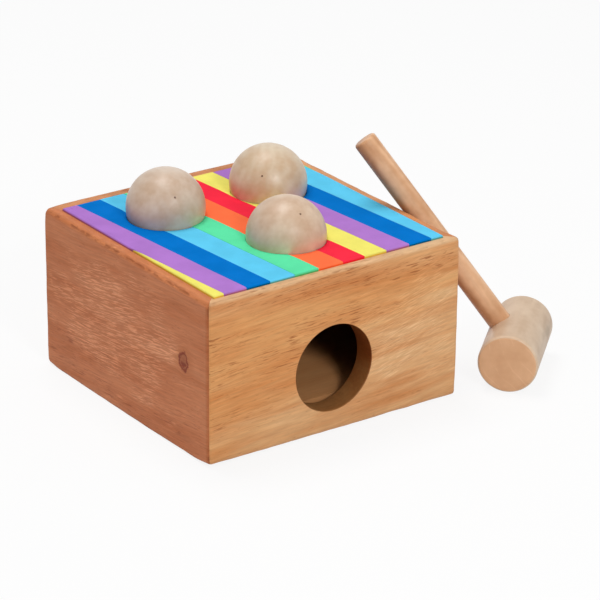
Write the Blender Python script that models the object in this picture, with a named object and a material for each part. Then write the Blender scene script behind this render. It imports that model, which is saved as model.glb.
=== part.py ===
"""Ball pounding toy: a mitred wooden box with a striped foam top, three balls pressed into
holes in the foam, a ramp inside that rolls them out of a round hole in front, and a mallet
that leans on the right wall.

Metres, +Z up, +X to the right along the front, +Y to the back. The origin is the middle of
the underside of the box, and the front wall with the exit hole faces -Y.
"""

import math

import bmesh
import bpy
from mathutils import Matrix, Vector

# Box
BOX_WIDTH = 0.168
BOX_DEPTH = 0.168
BOX_HEIGHT = 0.096
WALL = 0.014
LEFT_RIM = 0.0066
RIGHT_RIM = 0.008
FRONT_RIM = 0.0048
BACK_RIM = 0.0098
EDGE_ROUND = 0.0025
GLUE_GAP = 0.0003

# Plywood bottom, let in flush with the underside
BASE_THICKNESS = 0.004
BASE_LEDGE = 0.006

# Sloped floor, housed in grooves in the side walls
RAMP_THICKNESS = 0.005
RAMP_SLOPE = math.radians(5)
RAMP_GROOVE = 0.004
RAMP_ABOVE_BASE = 0.004
RAMP_SHORT = 0.004

# Laminated foam top: whole sheets from the middle seam outwards, and trimmed ones at both ends
FOAM_THICKNESS = 0.020
FOAM_PROUD = 0.0015
SHEET_THICKNESS = {
    "dark_blue": 0.0154,
    "light_blue": 0.0160,
    "green": 0.0156,
    "orange": 0.0163,
    "red": 0.0144,
    "yellow": 0.0148,
    "purple": 0.0155,
}
MIDDLE_SEAM_OFFSET = 0.0011
FIRST_SHEET_SHOWS = 0.0064
LAST_SHEET_SHOWS = 0.0033
STRIPE_SKEW = math.radians(4.5)

# Balls and their holes
BALL_RADIUS = 0.0225
BALL_CLEARANCE = 0.00015
BACK_BALLS_APART = 0.025
BACK_ROW = 0.032
FRONT_ROW = 0.034
FRONT_BALL_OFFSET = 0.0012
LEFT_BALL_STANDS = 0.0054
RIGHT_BALL_STANDS = 0.0050
FRONT_BALL_STANDS = 0.0021

# Round hole in the front wall that a ball rolls out of
EXIT_CLEARANCE = 0.0029
EXIT_EASE = 0.0008
EXIT_OFFSET = -0.0014

# Mallet
HEAD_RADIUS = 0.017
HEAD_LENGTH = 0.061
HEAD_ROUND = 0.0018
HANDLE_RADIUS = 0.0066
HANDLE_REACH = 0.1485
SOCKET_FLOOR = 0.010
HANDLE_ROUND = 0.002
SOCKET_CLEARANCE = 0.0003
HEAD_FROM_WALL = 0.048
HEAD_FROM_FRONT = 0.005
HEAD_TURN = math.radians(42)

# Facets
ROUND_SEGMENTS = 4
HOLE_SEGMENTS = 64
TURNED_SEGMENTS = 48
HANDLE_SEGMENTS = 24
BALL_SUBDIVISIONS = 4
ROUND_PROFILE = 0.5
SHARP_ANGLE = math.radians(40)
MERGE = 1e-6
TRIM = 0.004

# Finishes: colours as linear red, green and blue, and roughness
WOOD = (0.56, 0.27, 0.12)
PLYWOOD = (0.52, 0.36, 0.21)
PALE_WOOD = (0.60, 0.46, 0.33)
HANDLE_WOOD = (0.70, 0.42, 0.22)
FOAM_COLOURS = {
    "yellow": (0.90, 0.80, 0.15),
    "purple": (0.42, 0.19, 0.62),
    "dark_blue": (0.00, 0.18, 0.62),
    "light_blue": (0.11, 0.59, 0.89),
    "green": (0.11, 0.76, 0.36),
    "orange": (1.00, 0.16, 0.05),
    "red": (0.95, 0.03, 0.06),
}
WALL_ROUGHNESS = 0.45
PLYWOOD_ROUGHNESS = 0.6
BALL_ROUGHNESS = 0.4
MALLET_ROUGHNESS = 0.45
FOAM_ROUGHNESS = 0.75

# Foam sheets from left to right: two trimmed ones at each end, and whole ones left and right of
# the middle seam
LEFT_END_SHEETS = ("yellow", "purple")
LEFT_SHEETS = ("dark_blue", "light_blue", "green", "orange")
RIGHT_SHEETS = ("red", "yellow", "purple", "dark_blue")
RIGHT_END_SHEETS = ("light_blue", "green")

CAVITY_WIDTH = BOX_WIDTH - 2 * WALL
CAVITY_DEPTH = BOX_DEPTH - 2 * WALL
FOAM_TOP = BOX_HEIGHT + FOAM_PROUD
FOAM_UNDERSIDE = FOAM_TOP - FOAM_THICKNESS
RAMP_LIP = BASE_THICKNESS + RAMP_ABOVE_BASE + RAMP_THICKNESS / math.cos(RAMP_SLOPE)
EXIT_RADIUS = BALL_RADIUS + EXIT_CLEARANCE
EXIT_HEIGHT = RAMP_LIP + EXIT_RADIUS


def material(name, colour, roughness):
    made = bpy.data.materials.new(name)
    made.use_nodes = True
    shader = made.node_tree.nodes["Principled BSDF"]
    shader.inputs["Base Color"].default_value = (*colour, 1.0)
    shader.inputs["Roughness"].default_value = roughness
    shader.inputs["Metallic"].default_value = 0.0
    return made


def add_object(name, mesh, paint=None):
    made = bpy.data.objects.new(name, mesh)
    bpy.context.scene.collection.objects.link(made)
    if paint:
        mesh.materials.append(paint)
    return made


def mesh_from(name, bm):
    bmesh.ops.recalc_face_normals(bm, faces=bm.faces)
    mesh = bpy.data.meshes.new(name)
    bm.to_mesh(mesh)
    bm.free()
    return mesh


def smooth(mesh):
    mesh.shade_smooth()
    mesh.set_sharp_from_angle(angle=SHARP_ANGLE)


def prism(name, outline, along):
    """A closed prism: the outline's 3-D points, and the same points moved by along."""
    bm = bmesh.new()
    near = [bm.verts.new(point) for point in outline]
    far = [bm.verts.new(Vector(point) + along) for point in outline]
    bm.faces.new(near)
    bm.faces.new(far)
    for i in range(len(outline)):
        j = (i + 1) % len(outline)
        bm.faces.new((near[i], near[j], far[j], far[i]))
    return mesh_from(name, bm)


def turned(name, profile, segments):
    """A solid of revolution about Z from (radius, height) points that start and end on the axis."""
    bm = bmesh.new()
    points = [bm.verts.new((radius, 0, height)) for radius, height in profile]
    edges = [bm.edges.new(pair) for pair in zip(points, points[1:])]
    bmesh.ops.spin(
        bm,
        geom=points + edges,
        axis=(0, 0, 1),
        angle=2 * math.pi,
        steps=segments,
        use_merge=True,
    )
    bmesh.ops.remove_doubles(bm, verts=bm.verts, dist=MERGE)
    return mesh_from(name, bm)


def arc(centre, radius, start, end, segments=ROUND_SEGMENTS):
    """Points of a circular arc in a profile, from one angle to another."""
    steps = [start + (end - start) * i / segments for i in range(segments + 1)]
    return [
        (centre[0] + radius * math.cos(angle), centre[1] + radius * math.sin(angle))
        for angle in steps
    ]


def cutter(name, mesh):
    made = add_object(name, mesh)
    made.hide_render = True
    made.display_type = "WIRE"
    return made


def boolean(target, tool, operation):
    step = target.modifiers.new(f"{operation.lower()} {tool.name}", "BOOLEAN")
    step.operation = operation
    step.object = tool
    step.solver = "EXACT"


def rounded_block():
    """The glued-up box as one block with every outside edge rounded over."""
    bm = bmesh.new()
    bmesh.ops.create_cube(bm, size=1)
    size = Vector((BOX_WIDTH, BOX_DEPTH, BOX_HEIGHT))
    bmesh.ops.scale(bm, vec=size, verts=bm.verts)
    bmesh.ops.translate(bm, vec=(0, 0, BOX_HEIGHT / 2), verts=bm.verts)
    bmesh.ops.bevel(
        bm,
        geom=bm.edges,
        offset=EDGE_ROUND,
        segments=ROUND_SEGMENTS,
        profile=ROUND_PROFILE,
        affect="EDGES",
    )
    return cutter("rounded_block", mesh_from("rounded_block", bm))


def wall_section():
    """(inset from the outside face, height) round a wall, with the rebate for the base."""
    base_inset = WALL - BASE_LEDGE
    return [
        (-TRIM, -TRIM),
        (base_inset, -TRIM),
        (base_inset, BASE_THICKNESS + GLUE_GAP),
        (WALL, BASE_THICKNESS + GLUE_GAP),
        (WALL, BOX_HEIGHT + TRIM),
        (-TRIM, BOX_HEIGHT + TRIM),
    ]


def mitred_wall(name, length, distance, turn, paint, block):
    """A wall of the given outside length whose outside face is at the distance from the
    middle of the box, built facing -Y and turned about Z, with ends cut at 45 degrees."""
    end_gap = GLUE_GAP / math.sqrt(2)
    bm = bmesh.new()
    rings = []
    for side in (-1, 1):
        ring = []
        for inset, height in wall_section():
            along = side * (length / 2 - inset - end_gap)
            ring.append(bm.verts.new((along, inset - distance, height)))
        rings.append(ring)
    left, right = rings
    bm.faces.new(left)
    bm.faces.new(right)
    for i in range(len(left)):
        j = (i + 1) % len(left)
        bm.faces.new((left[i], left[j], right[j], right[i]))
    bmesh.ops.rotate(bm, matrix=Matrix.Rotation(turn, 3, "Z"), verts=bm.verts)
    wall = add_object(name, mesh_from(name, bm), paint)
    boolean(wall, block, "INTERSECT")
    return wall


def foam_limits():
    """The foam's front left and back right corners: it fills the rims' opening, less the glue gap."""
    low = Vector((LEFT_RIM - BOX_WIDTH / 2, FRONT_RIM - BOX_DEPTH / 2))
    high = Vector((BOX_WIDTH / 2 - RIGHT_RIM, BOX_DEPTH / 2 - BACK_RIM))
    gap = Vector((GLUE_GAP, GLUE_GAP))
    return low + gap, high - gap


def foam_rectangle(margin):
    """Plan corners of the foam, grown by the margin."""
    low, high = foam_limits()
    return [
        Vector((low.x - margin, low.y - margin)),
        Vector((high.x + margin, low.y - margin)),
        Vector((high.x + margin, high.y + margin)),
        Vector((low.x - margin, high.y + margin)),
    ]


def foam_pocket():
    """A cutter for the pocket in the tops of the walls that the foam is glued into."""
    floor = FOAM_UNDERSIDE - GLUE_GAP
    outline = [(p.x, p.y, floor) for p in foam_rectangle(GLUE_GAP)]
    height = Vector((0, 0, BOX_HEIGHT + TRIM - floor))
    return cutter("foam_pocket", prism("foam_pocket", outline, height))


def ramp_height(y):
    """Top of the ramp at y: level with the lower lip of the exit hole at the front wall."""
    return RAMP_LIP + (y + CAVITY_DEPTH / 2) * math.tan(RAMP_SLOPE)


def ramp_prism(name, half_width, front, back, clearance):
    """The ramp board's shape between two places on Y, grown by the clearance above and below."""
    drop = RAMP_THICKNESS / math.cos(RAMP_SLOPE) + clearance
    outline = [
        (-half_width, front, ramp_height(front) + clearance),
        (-half_width, back, ramp_height(back) + clearance),
        (-half_width, back, ramp_height(back) - drop),
        (-half_width, front, ramp_height(front) - drop),
    ]
    return prism(name, outline, Vector((2 * half_width, 0, 0)))


def exit_cutter():
    """The exit hole's bore along Y, flared at both faces by a small eased edge."""
    front = BOX_DEPTH / 2
    back = front - WALL
    quarter = math.pi / 2
    flare = EXIT_RADIUS + EXIT_EASE
    profile = [(0, front + TRIM), (flare, front + TRIM)]
    profile += arc((flare, front - EXIT_EASE), EXIT_EASE, quarter, 2 * quarter)
    profile += arc((flare, back + EXIT_EASE), EXIT_EASE, 2 * quarter, 3 * quarter)
    profile += [(flare, back - TRIM), (0, back - TRIM)]
    tool = cutter("exit_bore", turned("exit_bore", profile, HOLE_SEGMENTS))
    tool.location = (EXIT_OFFSET, 0, EXIT_HEIGHT)
    tool.rotation_euler = (quarter, 0, 0)
    return tool


def build_box():
    wood = material("wall wood", WOOD, WALL_ROUGHNESS)
    block = rounded_block()
    half_turn = math.pi
    quarter = math.pi / 2
    front = mitred_wall("front_panel", BOX_WIDTH, BOX_DEPTH / 2, 0, wood, block)
    back = mitred_wall("back_panel", BOX_WIDTH, BOX_DEPTH / 2, half_turn, wood, block)
    left = mitred_wall("left_panel", BOX_DEPTH, BOX_WIDTH / 2, -quarter, wood, block)
    right = mitred_wall("right_panel", BOX_DEPTH, BOX_WIDTH / 2, quarter, wood, block)
    pocket = foam_pocket()
    for wall in (front, back, left, right):
        boolean(wall, pocket, "DIFFERENCE")
    boolean(front, exit_cutter(), "DIFFERENCE")
    groove_reach = CAVITY_WIDTH / 2 + RAMP_GROOVE
    groove = cutter(
        "ramp_groove",
        ramp_prism("ramp_groove", groove_reach, -BOX_DEPTH / 2, BOX_DEPTH / 2, GLUE_GAP),
    )
    boolean(left, groove, "DIFFERENCE")
    boolean(right, groove, "DIFFERENCE")


def build_floor():
    plywood = material("plywood", PLYWOOD, PLYWOOD_ROUGHNESS)
    ramp = ramp_prism(
        "ball_ramp",
        CAVITY_WIDTH / 2 + RAMP_GROOVE - GLUE_GAP,
        RAMP_SHORT - CAVITY_DEPTH / 2,
        CAVITY_DEPTH / 2 - GLUE_GAP,
        0,
    )
    add_object("ball_ramp", ramp, plywood)
    half_width = CAVITY_WIDTH / 2 + BASE_LEDGE - GLUE_GAP
    half_depth = CAVITY_DEPTH / 2 + BASE_LEDGE - GLUE_GAP
    outline = [
        (-half_width, -half_depth, 0),
        (half_width, -half_depth, 0),
        (half_width, half_depth, 0),
        (-half_width, half_depth, 0),
    ]
    base = prism("base_panel", outline, Vector((0, 0, BASE_THICKNESS)))
    add_object("base_panel", base, plywood)


def ball_places():
    """Ball name to its centre at rest."""
    side = BALL_RADIUS + BACK_BALLS_APART / 2
    return {
        "ball_left": (-side, BACK_ROW, FOAM_TOP + LEFT_BALL_STANDS),
        "ball_right": (side, BACK_ROW, FOAM_TOP + RIGHT_BALL_STANDS),
        "ball_front": (FRONT_BALL_OFFSET, -FRONT_ROW, FOAM_TOP + FRONT_BALL_STANDS),
    }


def build_balls():
    pale = material("ball wood", PALE_WOOD, BALL_ROUGHNESS)
    for name, place in ball_places().items():
        bm = bmesh.new()
        bmesh.ops.create_icosphere(bm, subdivisions=BALL_SUBDIVISIONS, radius=BALL_RADIUS)
        mesh = mesh_from(name, bm)
        mesh.shade_smooth()
        ball = add_object(name, mesh, pale)
        ball.location = place


def clip(outline, normal, limit):
    """The part of a convex plan outline where the point along the normal is within the limit."""
    kept = []
    for i, here in enumerate(outline):
        before = outline[i - 1]
        side_here = here.dot(normal) - limit
        side_before = before.dot(normal) - limit
        if side_here * side_before < 0:
            kept.append(before.lerp(here, side_before / (side_before - side_here)))
        if side_here <= 0:
            kept.append(here)
    return kept


def islands(bm):
    """Groups of faces that hang together, from the front of the toy to the back."""
    found = []
    left = set(bm.faces)
    while left:
        group = {left.pop()}
        edge = list(group)
        while edge:
            face = edge.pop()
            near = {other for e in face.edges for other in e.link_faces}
            new = near & left
            left -= new
            group |= new
            edge += new
        found.append(group)
    return sorted(found, key=lambda g: sum(f.calc_center_median().y for f in g) / len(g))


def across_stripes():
    return Vector((math.cos(STRIPE_SKEW), math.sin(STRIPE_SKEW)))


def foam_seams():
    """Where the seams lie across the stripes, from left to right. The two outer seams leave a
    wedge of the outermost sheets at the front left and the back right corner of the foam."""
    low, high = foam_limits()
    across = across_stripes()
    seams = [MIDDLE_SEAM_OFFSET * across.x]
    for colour in reversed(LEFT_SHEETS):
        seams.insert(0, seams[0] - SHEET_THICKNESS[colour])
    for colour in RIGHT_SHEETS:
        seams.append(seams[-1] + SHEET_THICKNESS[colour])
    first = Vector((low.x + FIRST_SHEET_SHOWS, low.y))
    last = Vector((high.x - LAST_SHEET_SHOWS, high.y))
    return [first.dot(across), *seams, last.dot(across)]


def sheet_outlines():
    """(colour, plan outline) of each sheet: the foam's rectangle between two skewed seams."""
    front_left, back_right = foam_limits()
    across = across_stripes()
    seams = foam_seams()
    lows = [front_left.dot(across), *(seam + GLUE_GAP / 2 for seam in seams)]
    highs = [*(seam - GLUE_GAP / 2 for seam in seams), back_right.dot(across)]
    rectangle = foam_rectangle(0)
    colours = LEFT_END_SHEETS + LEFT_SHEETS + RIGHT_SHEETS + RIGHT_END_SHEETS
    return [
        (colour, clip(clip(rectangle, across, high), -across, -low))
        for colour, low, high in zip(colours, lows, highs)
    ]


def ball_hole(name, place):
    """A cutter for the hole that a ball is pressed through."""
    bm = bmesh.new()
    bmesh.ops.create_cone(
        bm,
        cap_ends=True,
        segments=HOLE_SEGMENTS,
        radius1=BALL_RADIUS + BALL_CLEARANCE,
        radius2=BALL_RADIUS + BALL_CLEARANCE,
        depth=FOAM_THICKNESS + 2 * TRIM,
    )
    middle = FOAM_TOP - FOAM_THICKNESS / 2
    bmesh.ops.translate(bm, vec=(place[0], place[1], middle), verts=bm.verts)
    return cutter(name, mesh_from(name, bm))


def cut_pieces(block, tools):
    """The block's mesh after the cuts, as one bmesh for each separate piece."""
    for tool in tools:
        boolean(block, tool, "DIFFERENCE")
    graph = bpy.context.evaluated_depsgraph_get()
    whole = bmesh.new()
    whole.from_mesh(block.evaluated_get(graph).to_mesh())
    pieces = []
    for group in islands(whole):
        piece = bmesh.new()
        copies = {}
        for face in group:
            for vert in face.verts:
                if vert not in copies:
                    copies[vert] = piece.verts.new(vert.co)
            piece.faces.new([copies[vert] for vert in face.verts])
        pieces.append(piece)
    whole.free()
    return pieces


def piece_ends(count):
    """Endings for the names of the pieces of one sheet, from the front to the back."""
    middles = [f"_middle_{number}" for number in range(1, count - 1)]
    return ["", *middles, "_back"][:count]


def build_foam():
    tools = [ball_hole(f"{n}_hole", place) for n, place in ball_places().items()]
    paints = {n: material(f"{n} foam", c, FOAM_ROUGHNESS) for n, c in FOAM_COLOURS.items()}
    for number, (colour, outline) in enumerate(sheet_outlines(), 1):
        points = [(p.x, p.y, FOAM_UNDERSIDE) for p in outline]
        mesh = prism("foam_sheet", points, Vector((0, 0, FOAM_THICKNESS)))
        block = cutter("foam_sheet", mesh)
        pieces = cut_pieces(block, tools)
        for end, piece in zip(piece_ends(len(pieces)), pieces):
            name = f"foam_{number:02d}_{colour}{end}"
            add_object(name, mesh_from(name, piece), paints[colour])
        bpy.data.objects.remove(block)


def handle_lean(head_height):
    """How far the handle leans from upright, about the head's axis, to rest on the rounded
    top edge of the right wall."""
    head_x = BOX_WIDTH / 2 + HEAD_FROM_WALL
    edge_x = BOX_WIDTH / 2 - EDGE_ROUND
    edge_z = BOX_HEIGHT - EDGE_ROUND
    reach = math.hypot(head_x - edge_x, edge_z - head_height)
    to_edge = math.atan2(head_x - edge_x, edge_z - head_height)
    beside = math.asin((EDGE_ROUND + HANDLE_RADIUS + GLUE_GAP) / reach)
    return math.atan(math.tan(to_edge - beside) / math.sin(HEAD_TURN))


def round_ends(radius, rounding, low, high):
    """Half the outline of a turned bar from its top to its underside, with both rims rounded."""
    quarter = math.pi / 2
    corner = radius - rounding
    profile = [(0, high)]
    profile += arc((corner, high - rounding), rounding, quarter, 0)
    profile += arc((corner, low + rounding), rounding, 0, -quarter)
    return profile + [(0, low)]


def mallet_frame():
    """An empty at the middle of the head, with X along the head and Z along the handle."""
    head_height = HEAD_RADIUS + GLUE_GAP
    frame = bpy.data.objects.new("mallet", None)
    bpy.context.scene.collection.objects.link(frame)
    place = Vector((BOX_WIDTH / 2 + HEAD_FROM_WALL, HEAD_FROM_FRONT - BOX_DEPTH / 2, head_height))
    turn = Matrix.Rotation(HEAD_TURN, 4, "Z")
    lean = Matrix.Rotation(-handle_lean(head_height), 4, "X")
    frame.matrix_world = Matrix.Translation(place) @ turn @ lean
    return frame


def build_mallet():
    frame = mallet_frame()
    half = HEAD_LENGTH / 2
    mesh = turned("mallet_head", round_ends(HEAD_RADIUS, HEAD_ROUND, -half, half), TURNED_SEGMENTS)
    mesh.transform(Matrix.Rotation(math.pi / 2, 4, "Y"))
    smooth(mesh)
    wood = material("head wood", PALE_WOOD, MALLET_ROUGHNESS)
    head = add_object("mallet_head", mesh, wood)
    head.parent = frame

    foot = SOCKET_FLOOR - HEAD_RADIUS
    profile = round_ends(HANDLE_RADIUS, HANDLE_ROUND, foot, HANDLE_REACH)
    mesh = turned("mallet_handle", profile, HANDLE_SEGMENTS)
    smooth(mesh)
    wood = material("handle wood", HANDLE_WOOD, MALLET_ROUGHNESS)
    handle = add_object("mallet_handle", mesh, wood)
    handle.parent = frame

    bore = HANDLE_RADIUS + SOCKET_CLEARANCE
    mouth = HEAD_RADIUS + TRIM
    floor = foot - SOCKET_CLEARANCE
    profile = [(0, mouth), (bore, mouth), (bore, floor), (0, floor)]
    socket = cutter("handle_socket", turned("handle_socket", profile, HANDLE_SEGMENTS))
    socket.parent = frame
    boolean(head, socket, "DIFFERENCE")


def main():
    for old in list(bpy.data.objects):
        bpy.data.objects.remove(old)
    build_box()
    build_floor()
    build_balls()
    build_foam()
    build_mallet()


main()
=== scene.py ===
"""Looks of the ball pounding toy: hand-sanded oiled walls, a laminated foam top, turned balls
and a mallet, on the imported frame. Metres, +Z up, the front wall faces -Y. The materials work in
millimetres of a piece's own frame."""

import math
from dataclasses import dataclass

import bmesh
import bpy
import numpy as np
from mathutils import Matrix, Vector, noise


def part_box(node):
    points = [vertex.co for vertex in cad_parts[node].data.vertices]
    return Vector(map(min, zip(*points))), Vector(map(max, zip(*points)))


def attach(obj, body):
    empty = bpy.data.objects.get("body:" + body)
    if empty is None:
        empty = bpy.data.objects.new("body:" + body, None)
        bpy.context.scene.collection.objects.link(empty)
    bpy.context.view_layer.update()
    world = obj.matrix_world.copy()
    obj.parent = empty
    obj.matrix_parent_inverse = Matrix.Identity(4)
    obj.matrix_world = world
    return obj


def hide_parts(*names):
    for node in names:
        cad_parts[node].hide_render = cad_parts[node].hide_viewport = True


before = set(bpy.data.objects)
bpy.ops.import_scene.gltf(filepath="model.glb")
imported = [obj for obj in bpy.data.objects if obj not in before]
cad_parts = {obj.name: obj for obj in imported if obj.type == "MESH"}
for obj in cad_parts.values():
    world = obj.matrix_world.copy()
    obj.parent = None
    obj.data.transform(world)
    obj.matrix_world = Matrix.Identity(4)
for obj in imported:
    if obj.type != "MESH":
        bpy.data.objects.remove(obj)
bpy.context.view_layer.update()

# Camera, fitted to the photo's 600 x 600 pixels
IMAGE_PIXELS = 600
CAMERA_AZIMUTH = math.radians(-35.62)
CAMERA_ELEVATION = math.radians(23.284)
CAMERA_ROLL = math.radians(0.528)
CAMERA_DISTANCE = 1.70196
CAMERA_TARGET = Vector((0.018443, -0.023494, 0.0525))
FOCAL_PIXELS = 3023.57
SENSOR_MM = 36.0

# Light: softboxes as (name, azimuth, elevation, distance, side, watts), angles as for the camera
SOFTBOXES = (
    ("overhead", math.radians(190), math.radians(76), 1.4, 0.6, 9.2),
    ("front", math.radians(-11), math.radians(30), 1.6, 0.32, 8.6),
    ("side", math.radians(60), math.radians(35), 1.6, 0.5, 0.5),
)
WORLD_COLOUR = (1.0, 1.0, 1.0)
WORLD_STRENGTH = 0.44
FLOOR_COLOUR = (0.86, 0.86, 0.86)
FLOOR_ROUGHNESS = 0.9
FLOOR_GLOW = 0.87
FLOOR_SIDE = 12.0

# Mesh tolerances. The last four are shares of a direction in a face's normal: at least ALIGNED when
# the two are the same and LOOKS_ALONG when it looks that way, and less of Z than SIDEWAYS on a cut
# side and than UPRIGHT on a seam
WELD = 1e-6
FLAT_ANGLE = math.radians(0.5)
SHARP_ANGLE = math.radians(35)
CUT_TOLERANCE = 1e-7
SKIN_TOLERANCE = 0.00005
ALIGNED = 0.9999
LOOKS_ALONG = 0.5
SIDEWAYS = 0.5
UPRIGHT = 0.1

# What the CAD shapes have: their rounded outside edges and the gap in every glued seam
CAD_ROUND = 0.0025
CAD_SEAM_GAP = 0.0003

# The box's outside and the foam's height, from the frame
BOX_LOW = Vector((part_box("left_panel")[0].x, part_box("front_panel")[0].y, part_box("front_panel")[0].z))
BOX_HIGH = Vector((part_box("right_panel")[1].x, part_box("back_panel")[1].y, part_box("front_panel")[1].z))
FOAM_UNDERSIDE, FOAM_TOP = (corner.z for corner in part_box("foam_02_purple"))

# Hand-sanded walls
FOOT_ROUND = {"front": 0.0031, "left": 0.0012, "right": 0.0026, "back": 0.0024}
TOP_ROUND = {"front": 0.0021, "left": 0.0026, "right": 0.0036, "back": 0.0013}
UPRIGHT_ROUND = {
    ("left", "front"): 0.0026,
    ("right", "front"): 0.0015,
    ("left", "back"): 0.0024,
    ("right", "back"): 0.0026,
}
EDGE_REACH = 0.006
CORNER_ROUND = {
    ("left", "front", "foot"): 0.0036,
    ("left", "back", "foot"): 0.0036,
    ("right", "front", "foot"): 0.0024,
    ("right", "back", "foot"): 0.0032,
    ("left", "front", "top"): 0.0034,
    ("left", "back", "top"): 0.0040,
    ("right", "front", "top"): 0.0026,
    ("right", "back", "top"): 0.0030,
}
CORNER_REACH = 0.0075
LEAST_ROUND = 0.0005
SANDED_RIPPLE = 0.22
RIPPLE_LENGTH = 0.011
FINE_RIPPLE_RATE = 2.3
FINE_RIPPLE_SHARE = 0.5
ARRIS_SLANT = 0.25
FOOT_LIFT = 0.00095
FOOT_LIFT_REACH = (0.062, 0.045)
FOOT_LIFT_FADE = 0.012
MITRE_GAP = 0.00004
WALL_SLICE = 0.002
EDGE_ROWS = (0.0027, 0.0032, 0.0038, 0.0046, 0.0056)

# Foam. A step is how far one sheet can stand above the next, drawn from noise along a line
FOAM_ROUND = 0.0008
FOAM_ROUND_SEGMENTS = 3
FOAM_ROUND_PROFILE = 0.5
FOAM_SEAM_GAP = 0.00004
FOAM_HOLE_SEGMENTS = 96
FOAM_HOLE_OVERSHOOT = 0.004
FOAM_GRIP_GAP = 0.00014
FOAM_THIN_STRIP = 0.001
FOAM_STRIP_SLANT = 0.35
FOAM_SLICE = 0.004
FOAM_WAVE = 0.00012
FOAM_WAVE_LENGTH = 0.030
FOAM_STEP = 0.00016
FOAM_STEP_START = Vector((0.0, 0.3, 0.9))
FOAM_STEP_STRIDE = Vector((1.7, 0.0, 0.0))
FOAM_PRESSED = 0.0004
FOAM_PRESSED_REACH = 0.003

# Balls. The lathe mark is a small pit with a pointed floor, stained in its inner part
BALL_BODIES = {
    "ball_left": "left_ball",
    "ball_right": "right_ball",
    "ball_front": "front_ball",
}
BALL_RINGS = 48
BALL_SEGMENTS = 72
MARK_RADIUS = 0.0007
MARK_DEPTH = 0.0005
MARK_CONE_RADIUS = 0.5 * MARK_RADIUS
MARK_CONE_RISE = 0.15 * MARK_DEPTH
MARK_STAIN_RADIUS = 0.8 * MARK_RADIUS
# Direction of each ball's lathe mark: azimuth from the front and elevation
BALL_MARKS = {
    "ball_left": (math.radians(-16.9), math.radians(33)),
    "ball_right": (math.radians(-45.2), math.radians(28.8)),
    "ball_front": (math.radians(-3.4), math.radians(49.9)),
}

# Mallet
HEAD_SEGMENTS = 96
HEAD_ROUND = 0.0018
HANDLE_SEGMENTS = 48
HANDLE_ROUND = 0.0016
RIM_SEGMENTS = 6
BAR_SLICE = 0.004
SOCKET_CLEARANCE = 0.0001

MM = 1000.0


def srgb(red, green, blue):
    """A colour given as it shows on a screen, 0 to 255, as linear red, green and blue."""
    linear = []
    for value in (red, green, blue):
        share = value / 255
        linear.append(share / 12.92 if share <= 0.04045 else ((share + 0.055) / 1.055) ** 2.4)
    return tuple(linear)


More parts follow.
